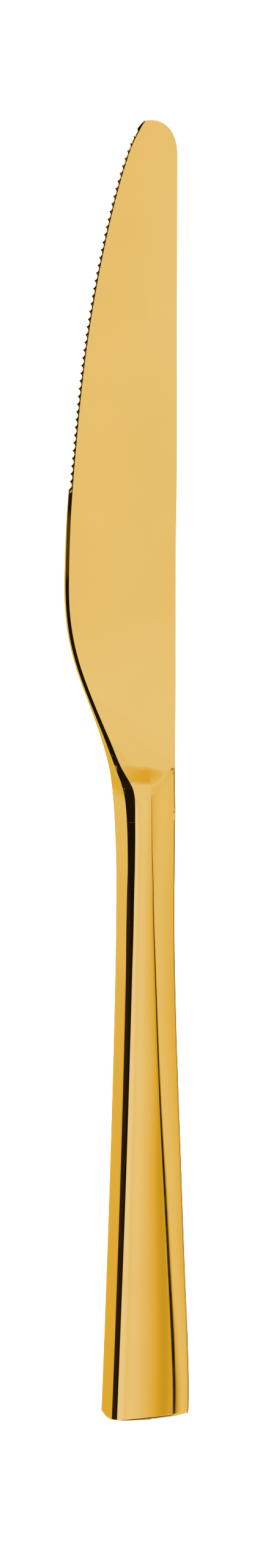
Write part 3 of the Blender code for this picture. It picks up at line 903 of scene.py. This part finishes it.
white = (1.0, 1.0, 1.0)
black = (0.012, 0.009, 0.004)
dusk = (0.13, 0.09, 0.01)
umber = (0.3, 0.21, 0.03)
honey = (0.75, 0.55, 0.09)
brass = (0.87, 0.65, 0.1)
straw = (0.95, 0.85, 0.5)
cream = (0.97, 0.9, 0.6)
studio = {
    "wallTones": (  # degrees round from the front towards the spine side, and what hangs there
        (-180, (0.88, 0.66, 0.1)),
        (-170, (0.9, 0.7, 0.15)),
        (-164, (0.95, 0.82, 0.38)),
        (-160, (0.95, 0.81, 0.36)),
        (-157.5, (0.88, 0.67, 0.14)),
        (-155, (0.6, 0.44, 0.06)),
        (-150, (0.2, 0.14, 0.015)),
        (-143, (0.09, 0.06, 0.006)),
        (-126, (0.05, 0.03, 0.005)),
        (-105, black),
        (3, black),
        (7.5, (0.6, 0.5, 0.3)),
        (9, (1.04, 1.09, 1.36)),
        (12.5, (1.04, 1.1, 1.4)),
        (15, (1.015, 1.03, 1.12)),
        (15.6, (0.995, 0.95, 0.82)),
        (16, (0.995, 0.96, 0.85)),
        (16.7, white),
        (18, (1.01, 1.02, 1.05)),
        (21, (1.01, 1.03, 1.08)),
        (24, (1.005, 1.0, 1.0)),
        (27, (1.0, 0.96, 0.87)),
        (30, (0.985, 0.92, 0.7)),
        (33, (0.97, 0.88, 0.58)),
        (37, (0.945, 0.8, 0.36)),
        (41, (0.92, 0.72, 0.18)),
        (44, (0.82, 0.63, 0.1)),
        (47, (0.75, 0.57, 0.068)),
        (51, (0.75, 0.57, 0.068)),
        (54, (0.89, 0.68, 0.12)),
        (55.5, (0.85, 0.65, 0.1)),
        (57.5, umber),
        (59, black),
        (67.5, black),
        (69, umber),
        (71, (0.7, 0.53, 0.1)),
        (73, (0.89, 0.71, 0.2)),
        (75.5, (0.95, 0.82, 0.42)),
        (78.5, (0.985, 0.93, 0.72)),
        (82, (0.985, 0.93, 0.72)),
        (85, (0.98, 0.89, 0.58)),
        (88, (0.965, 0.85, 0.45)),
        (90.5, (0.945, 0.78, 0.3)),
        (92.5, (0.92, 0.72, 0.18)),
        (95.5, (0.85, 0.64, 0.1)),
        (98.5, (0.4, 0.29, 0.04)),
        (103, dusk),
        (126, dusk),
        (129.5, (0.98, 0.92, 0.7)),
        (140.5, (0.98, 0.92, 0.7)),
        (144, dusk),
        (164, dusk),
        (172, (0.88, 0.66, 0.1)),
        (180, (0.88, 0.66, 0.1)),
    ),
    "roomTones": (  # softer walls above and below that belt
        (-180, brass),
        (-150, brass),
        (-125, (0.6, 0.44, 0.1)),
        (-110, straw),
        (-95, white),
        (45, white),
        (56, (0.96, 0.87, 0.55)),
        (70, (0.96, 0.87, 0.55)),
        (80, white),
        (105, white),
        (116, (0.5, 0.36, 0.08)),
        (124, straw),
        (132, white),
        (158, white),
        (172, brass),
        (180, brass),
    ),
    "belt": ((-23.0, 0.0), (-20.5, 1.0), (-14.0, 1.0), (-11.5, 0.0)),  # degrees up, share of wallTones
    # cards hung in the room: left, right, bottom and top in degrees, softness up and across, tone
    "cards": (
        (54, 76, 4, 14, 4, 4, (0.99, 0.96, 0.88)),
        (50, 62, 34, 60, 22, 14, (0.945, 0.81, 0.4)),
        (19, 100, 51, 78, 28, 4, (0.9, 0.69, 0.13)),
        (46, 170, -24, -18.8, 0.6, 0.6, cream),
        (46, 170, -14.7, -11, 0.6, 0.6, cream),
        (57, 69, -15.4, -11, 0.4, 1, (0.97, 0.88, 0.55)),
        (-174, -150, -15.2, -9, 1.4, 1.4, (0.89, 0.66, 0.1)),
        (-5, 70, -56, -31, 4, 4, (0.03, 0.02, 0.003)),
        (0, 80, -80, -60, 4, 4, (0.85, 0.65, 0.12)),
        (-75, -10, -60, -31, 2, 2, black),
        (-23.3, -11, -29.5, -16, 1.5, 1.5, black),
        (-40, -1, -22.4, -16, 1, 3, black),
        (-150, -57.5, -62, -12, 3, 1.5, (0.03, 0.02, 0.005)),
        (-60, -38, -22.2, -15, 0.8, 1.5, black),
        (-60, -40, -17, 16, 4, 4, black),
        (-42, -14, 1.5, 16, 3, 3, black),
        (-34, -8.5, -9, 6, 1.5, 1.5, black),
        (-34, -6.5, 5, 25, 1, 1.5, black),
        (-52, -22, 12, 52, 3, 3, black),
        (-157, -52, -10, 50, 3, 3, black),
        (-34, -21, -3.8, 4, 1.2, 1.5, honey),
        (-163, -140, -4.2, 4, 1.2, 1.5, honey),
        (-40, -8, -17, -7, 2, 2, black),
        (-9, -3, -17, -11.5, 1, 2, black),
        (-46.8, -43.2, -13.9, -11, 0.4, 0.8, (0.5, 0.36, 0.06)),
        (-33.2, -29, -14.6, -13.2, 0.5, 0.6, (0.115, 0.08, 0.012)),
    ),
    "strength": 1.0,
    "floorLight": 1.0,
    "rampStops": 30,  # a colour ramp holds 32, so a longer row is cut in two
}


def fillRamp(ramp, stops, low, high):
    elements = ramp.color_ramp.elements
    while len(elements) > 1:
        elements.remove(elements[-1])
    for i, (angle, tone) in enumerate(stops):
        place = (angle - low) / (high - low)
        element = elements[0] if i == 0 else elements.new(place)
        element.position = place
        element.color = (*tone, 1.0) if isinstance(tone, tuple) else (tone, tone, tone, 1.0)


def makeStudio():
    # light by direction: a belt of walls round the knife, softer walls above and below, white for the floor
    world = bpy.data.worlds.new("studioWalls")
    bpy.context.scene.world = world
    world.use_nodes = True
    nodes, links = world.node_tree.nodes, world.node_tree.links
    shade = nodes["Background"]
    way = nodes.new("ShaderNodeTexCoord")
    axes = nodes.new("ShaderNodeSeparateXYZ")
    links.new(way.outputs["Generated"], axes.inputs["Vector"])
    # turn goes from 0 to 1 once round, with 0.5 at the front, and lift from 0 straight down to 1 straight up
    front = mathNode(nodes, links, "MULTIPLY", axes.outputs["Y"], -1.0)
    turn = mathNode(nodes, links, "ARCTAN2", axes.outputs["X"], front)
    turn = mathNode(nodes, links, "ADD", mathNode(nodes, links, "MULTIPLY", turn, 0.5 / np.pi), 0.5)
    lift = mathNode(nodes, links, "ARCSINE", axes.outputs["Z"])
    lift = mathNode(nodes, links, "ADD", mathNode(nodes, links, "MULTIPLY", lift, 1.0 / np.pi), 0.5)

    def blended(kind, factor, a, b):
        node = nodes.new("ShaderNodeMix")
        node.data_type = "RGBA"
        node.blend_type = kind
        node.clamp_result = False
        for label, value in (("Factor", factor), ("A", a), ("B", b)):
            if isinstance(value, bpy.types.NodeSocket):
                links.new(value, node.inputs[label])
            else:
                node.inputs[label].default_value = value
        return node.outputs["Result"]

    def toned(source, stops, low, high):
        if len(stops) > studio["rampStops"]:
            half = len(stops) // 2
            after = mathNode(nodes, links, "GREATER_THAN", source, (stops[half][0] - low) / (high - low))
            first, second = (toned(source, part, low, high) for part in (stops[: half + 1], stops[half:]))
            return blended("MIX", after, first, second)
        ramp = nodes.new("ShaderNodeValToRGB")
        fillRamp(ramp, stops, low, high)
        links.new(source, ramp.inputs["Fac"])
        return ramp.outputs["Color"]

    def within(source, start, end, soft):  # 1 between start and end, easing to 0 over soft on both sides
        share = None
        for a, b in ((start - soft, start), (end + soft, end)):
            step = nodes.new("ShaderNodeMapRange")
            step.interpolation_type = "SMOOTHSTEP"
            low, high = sorted((a, b))
            step.inputs["From Min"].default_value = low
            step.inputs["From Max"].default_value = high
            step.inputs["To Min"].default_value = 0.0 if a < b else 1.0
            step.inputs["To Max"].default_value = 1.0 if a < b else 0.0
            links.new(source, step.inputs["Value"])
            out = step.outputs["Result"]
            share = out if share is None else mathNode(nodes, links, "MULTIPLY", share, out)
        return share

    room = toned(turn, studio["roomTones"], -180, 180)
    walls = toned(turn, studio["wallTones"], -180, 180)
    mirrored = blended("MIX", toned(lift, studio["belt"], -90, 90), room, walls)
    for left, right, bottom, top, softUp, softAcross, tone in studio["cards"]:
        across = within(turn, left / 360 + 0.5, right / 360 + 0.5, softAcross / 360)
        upright = within(lift, bottom / 180 + 0.5, top / 180 + 0.5, softUp / 180)
        card = mathNode(nodes, links, "MULTIPLY", across, upright)
        mirrored = blended("MIX", card, mirrored, (*tone, 1.0))
    ray = nodes.new("ShaderNodeLightPath")
    plain = (studio["floorLight"],) * 3 + (1.0,)
    links.new(blended("MIX", ray.outputs["Is Glossy Ray"], plain, mirrored), shade.inputs["Color"])
    shade.inputs["Strength"].default_value = studio["strength"]


makeStudio()
bpy.context.scene.view_settings.view_transform = "Standard"
bpy.context.scene.view_settings.look = "None"
print("studio ready")
